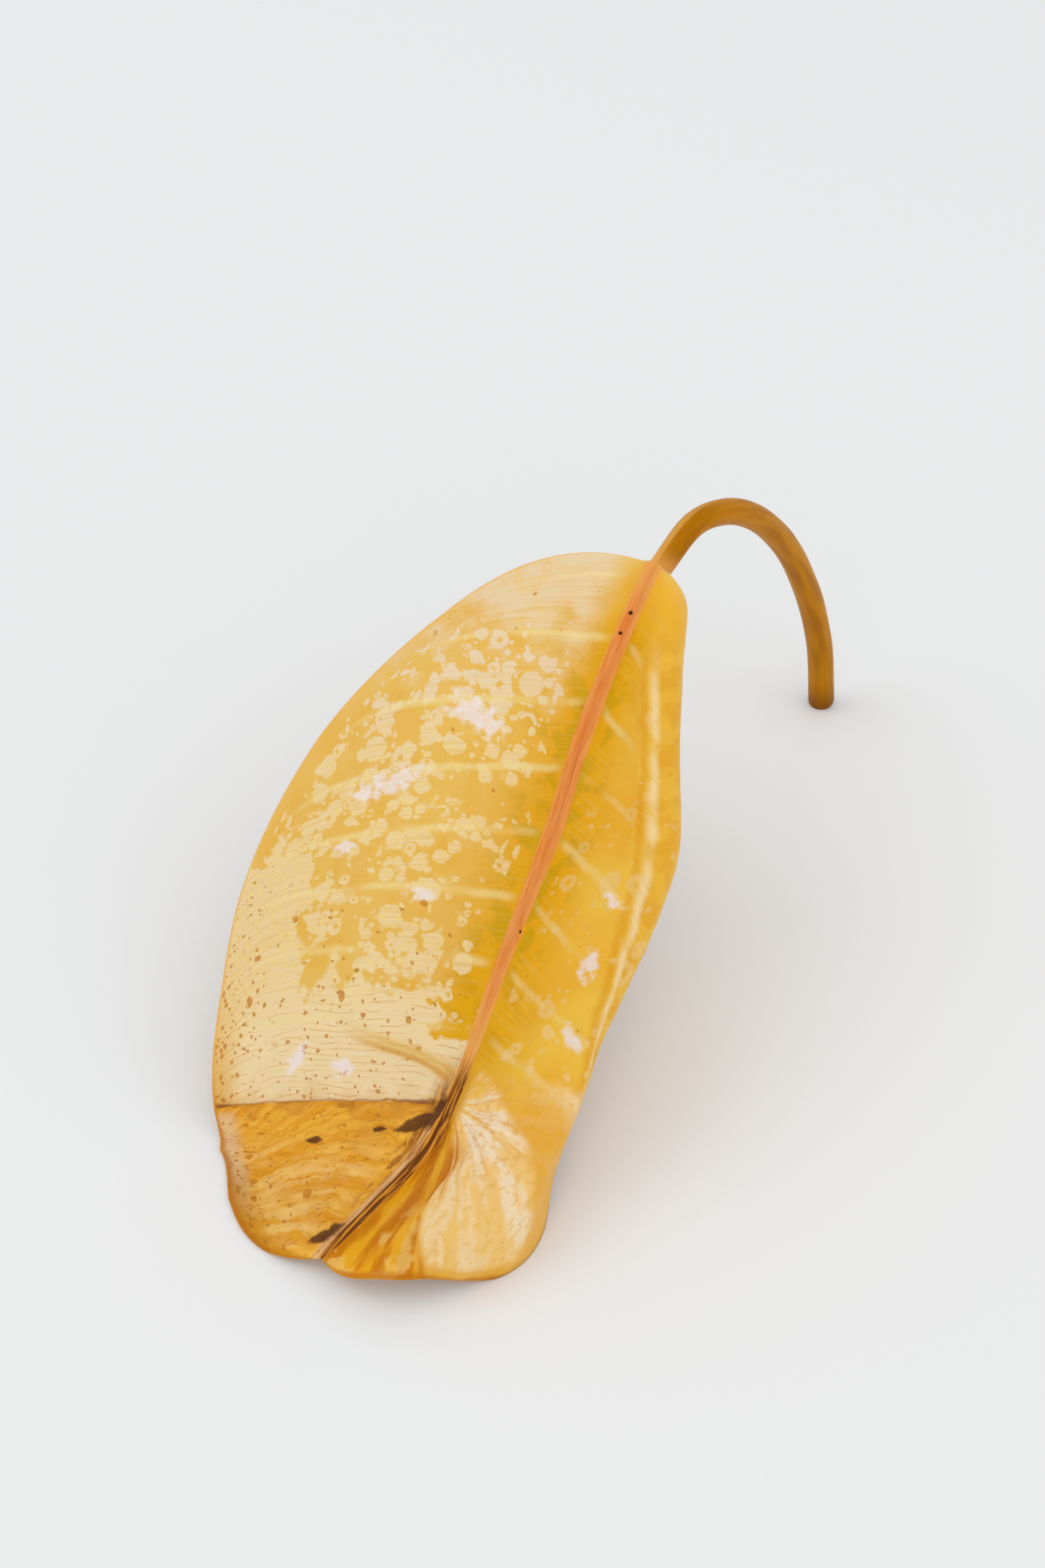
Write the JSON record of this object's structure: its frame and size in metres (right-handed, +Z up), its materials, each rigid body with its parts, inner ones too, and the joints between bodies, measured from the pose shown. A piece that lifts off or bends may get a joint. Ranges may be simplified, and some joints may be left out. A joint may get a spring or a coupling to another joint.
{
  "type": "rubber plant leaf",
  "caption": "Fallen rubber plant leaf, golden yellow and drying, resting on its crumpled tip and its arched stalk.",
  "frame": {"origin": "bottom centre of the leaf's box, on the table it rests on", "axes": "+Z up, +Y from the tip to the cut end of the stalk, +X to the right as seen from the tip"},
  "size_m": [0.0663, 0.1499, 0.0607],
  "materials": {
    "leaf": "satin"
  },
  "bodies": {
    "root": {"leaf": "leaf"}
  },
  "joints": []
}
